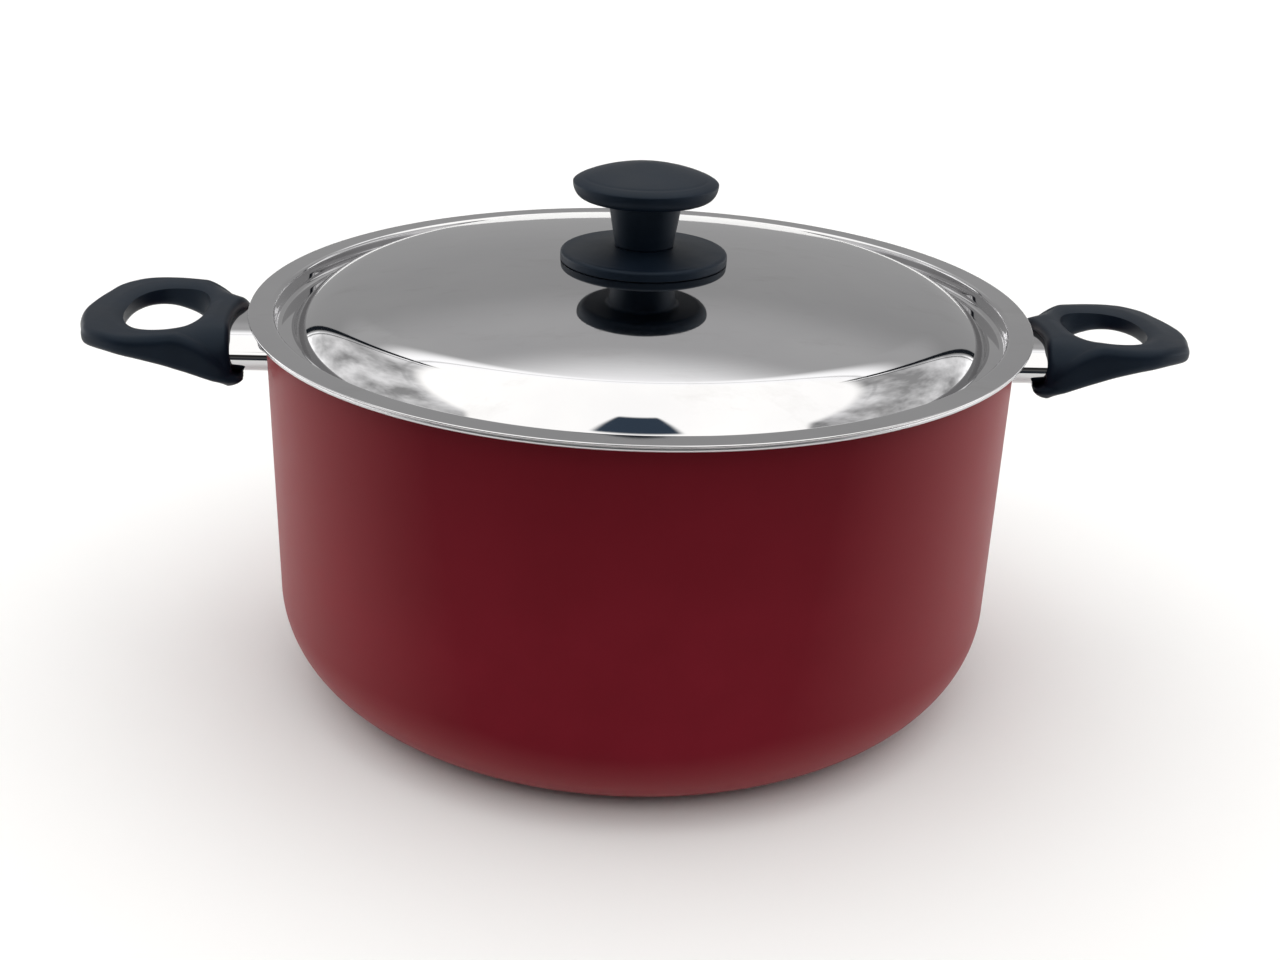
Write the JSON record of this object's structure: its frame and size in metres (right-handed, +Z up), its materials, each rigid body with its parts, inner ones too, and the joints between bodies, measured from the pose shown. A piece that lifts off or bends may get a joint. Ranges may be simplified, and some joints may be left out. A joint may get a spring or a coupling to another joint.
{
  "type": "covered stock pot",
  "caption": "Wide straight-walled cooking pot with looped side handles and a lift-off domed lid with a mushroom knob.",
  "frame": {"origin": "centre of the pot's flat base, on the surface the pot stands on", "axes": "+Z up along the axis of the pot and lid, +X through the right-hand handle, -X through the left-hand handle"},
  "size_m": [0.4268, 0.296, 0.2005],
  "materials": {
    "red_coated_aluminium": "drawn aluminium, satin dark red coating outside, dark nonstick inside, bare lip and base",
    "polished_steel": "mirror-polished stainless steel",
    "phenolic": "satin blue-black phenolic moulding",
    "bare_aluminium": "bare turned aluminium",
    "fastener_steel": "plain stainless steel",
    "insert_brass": "turned brass"
  },
  "bodies": {
    "pot": {"pot_shell": "red_coated_aluminium", "right_handle_grip": "phenolic", "right_flame_guard": "polished_steel", "right_weld_stud": "bare_aluminium", "right_flat_washer": "fastener_steel", "right_spring_washer": "fastener_steel", "right_handle_screw": "fastener_steel", "left_handle_grip": "phenolic", "left_flame_guard": "polished_steel", "left_weld_stud": "bare_aluminium", "left_flat_washer": "fastener_steel", "left_spring_washer": "fastener_steel", "left_handle_screw": "fastener_steel"},
    "lid": {"lid_shell": "polished_steel", "knob_flange": "phenolic", "knob_grip": "phenolic", "knob_insert": "insert_brass", "knob_washer": "fastener_steel", "knob_spring_washer": "fastener_steel", "knob_screw": "fastener_steel"}
  },
  "joints": [
    {"name": "lid_lift", "type": "slide", "parent": "pot", "child": "lid", "axis": [0, 0, 1], "range_m": [0, 0.2]}
  ]
}
